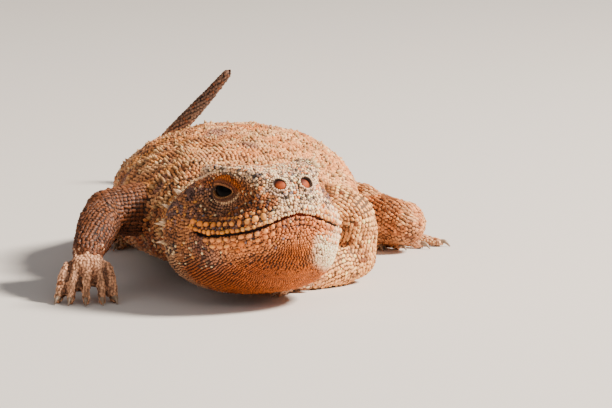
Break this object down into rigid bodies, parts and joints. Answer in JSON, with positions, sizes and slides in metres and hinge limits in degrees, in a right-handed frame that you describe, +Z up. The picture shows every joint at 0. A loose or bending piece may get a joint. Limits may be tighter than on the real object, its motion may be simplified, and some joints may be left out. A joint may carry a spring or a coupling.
{
  "type": "lizard model",
  "caption": "Life-size still model of a crouching toad-headed agama, head turned to its left, one foreleg planted forward and the tail curled up behind.",
  "frame": {"origin": "middle of the bounding box's base, on the floor", "axes": "+Z up, +Y from the head towards the tail, +X to the animal's left"},
  "size_m": [0.0758, 0.1824, 0.0272],
  "materials": {
    "head": "granular scales, sandy orange with pale and slate specks",
    "jaw": "fine scales, orange brown with cream lip scales",
    "trunk": "keeled scales, tan with brown mottling and cream spots",
    "limb": "keeled scales, orange tan, pale digits",
    "tail": "keeled scales, sandy with brown bars and a dark tip",
    "eye": "moist, near black"
  },
  "bodies": {
    "root": {"eye_left": "eye", "eye_right": "eye", "foot_left": "limb", "foot_right": "limb", "forearm_left": "limb", "forearm_right": "limb", "hand_left": "limb", "hand_right": "limb", "head": "head", "jaw": "jaw", "neck": "trunk", "shank_left": "limb", "shank_right": "limb", "tail_1": "tail", "tail_2": "tail", "tail_3": "tail", "tail_4": "tail", "thigh_left": "limb", "thigh_right": "limb", "torso": "trunk", "upper_arm_left": "limb", "upper_arm_right": "limb"}
  },
  "joints": []
}
